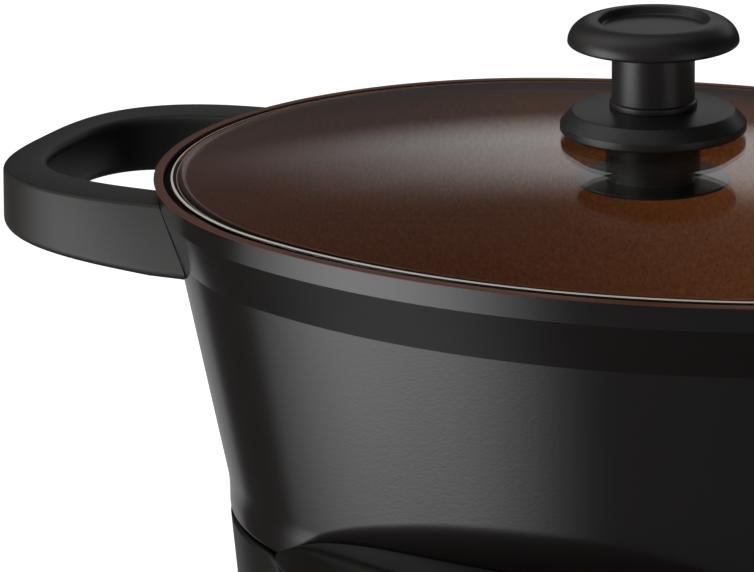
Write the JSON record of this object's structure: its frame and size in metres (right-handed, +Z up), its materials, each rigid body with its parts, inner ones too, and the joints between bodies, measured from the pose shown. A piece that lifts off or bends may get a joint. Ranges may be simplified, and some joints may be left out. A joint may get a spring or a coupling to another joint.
{
  "type": "multicooker",
  "caption": "Oval electric multicooker: cast lift-out pot with loop handles and a domed glass lid, on a heated base with a slanted control console",
  "frame": {"origin": "on the table under the middle of the whole object's box; the pot's axis is 10.9 mm towards the back", "axes": "+X along the line of the two handles, the controls face -Y, +Z up"},
  "size_m": [0.408, 0.2563, 0.2429],
  "materials": {
    "glass": "clear tempered glass, polished edge",
    "knob_plastic": "satin black moulded phenolic",
    "seal_rubber": "matt black silicone",
    "steel": "plain zinc-plated steel",
    "pot_coating": "satin black enamel on cast metal, copper-brown inside",
    "handle_plastic": "satin black moulded phenolic",
    "base_plastic": "satin black moulded plastic",
    "panel_metal": "satin black painted sheet",
    "foot_rubber": "matt grey-black rubber",
    "sheet_steel": "pressed bright sheet",
    "cast_aluminium": "machined cast aluminium",
    "element_steel": "heat-browned steel tube",
    "ceramic": "unglazed ivory ceramic",
    "component_dark": "dark moulded plastic",
    "component_blue": "blue moulded case",
    "component_brass": "wound core with tape",
    "component_yellow": "yellow moulded case",
    "component_green": "green moulded terminal",
    "circuit_board": "green lacquered board",
    "lead_sleeve": "woven glass sleeve",
    "ribbon": "grey ribbon cable",
    "console_plastic": "gloss black moulded plastic",
    "fascia_gloss": "gloss black printed fascia",
    "window_dark": "smoked acrylic",
    "control_plastic": "satin dark grey moulded plastic"
  },
  "bodies": {
    "base": {"base_shell": "base_plastic", "base_deck": "base_plastic", "side_panel_left": "panel_metal", "side_panel_right": "panel_metal", "base_floor": "base_plastic", "feet": "foot_rubber", "base_screws": "steel", "heat_shield": "sheet_steel", "heater_plate": "cast_aluminium", "heating_element": "element_steel", "plate_spacers": "ceramic", "plate_screws": "steel", "thermal_fuse": "ceramic", "sensor_guide": "sheet_steel", "sensor_spring": "steel", "power_board": "circuit_board", "relay": "component_blue", "transformer": "component_brass", "capacitor": "component_yellow", "terminal_block": "component_green", "cord_gland": "base_plastic", "heater_leads": "lead_sleeve", "signal_cable": "ribbon", "console": "console_plastic", "fascia": "fascia_gloss", "display_window": "window_dark", "display_module": "component_dark", "control_board": "circuit_board", "tact_switches": "component_dark", "encoder": "sheet_steel"},
    "pot": {"pot": "pot_coating", "handle_left": "handle_plastic", "handle_right": "handle_plastic", "handle_screws": "steel"},
    "lid": {"lid_glass": "glass", "knob_cap": "knob_plastic", "knob_stem": "knob_plastic", "knob_ring": "knob_plastic", "knob_flange": "knob_plastic", "knob_gasket": "seal_rubber", "lid_retainer": "knob_plastic", "lid_screw": "steel"},
    "sensor": {"sensor_cap": "cast_aluminium", "thermistor": "component_dark"},
    "dial": {"dial": "control_plastic", "dial_shaft": "steel"},
    "button_upper_left": {"button_upper_left": "control_plastic"},
    "button_lower_left": {"button_lower_left": "control_plastic"},
    "button_upper_right": {"button_upper_right": "control_plastic"},
    "button_lower_right": {"button_lower_right": "control_plastic"}
  },
  "joints": [
    {"name": "pot_lift", "type": "slide", "parent": "base", "child": "pot", "axis": [0, 0, 1], "range_m": [0, 0.12]},
    {"name": "lid_lift", "type": "slide", "parent": "pot", "child": "lid", "axis": [0, 0, 1], "range_m": [0, 0.1]},
    {"name": "sensor_plunge", "type": "slide", "parent": "base", "child": "sensor", "axis": [0, 0, -1], "range_m": [0, 0.002], "stiffness_N_per_m": 500, "springref_m": -0.004, "deforming": ["sensor_spring"]},
    {"name": "dial_turn", "type": "hinge", "parent": "base", "child": "dial", "pos_m": [0, -0.11, 0.04259], "axis": [0, -0.9505, 0.3108], "continuous": true},
    {"name": "button_upper_left_press", "type": "slide", "parent": "base", "child": "button_upper_left", "axis": [0, 0.9505, -0.3108], "range_m": [0, 0.001], "stiffness_N_per_m": 400, "springref_m": -0.001},
    {"name": "button_lower_left_press", "type": "slide", "parent": "base", "child": "button_lower_left", "axis": [0, 0.9505, -0.3108], "range_m": [0, 0.001], "stiffness_N_per_m": 400, "springref_m": -0.001},
    {"name": "button_upper_right_press", "type": "slide", "parent": "base", "child": "button_upper_right", "axis": [0, 0.9505, -0.3108], "range_m": [0, 0.001], "stiffness_N_per_m": 400, "springref_m": -0.001},
    {"name": "button_lower_right_press", "type": "slide", "parent": "base", "child": "button_lower_right", "axis": [0, 0.9505, -0.3108], "range_m": [0, 0.001], "stiffness_N_per_m": 400, "springref_m": -0.001}
  ]
}
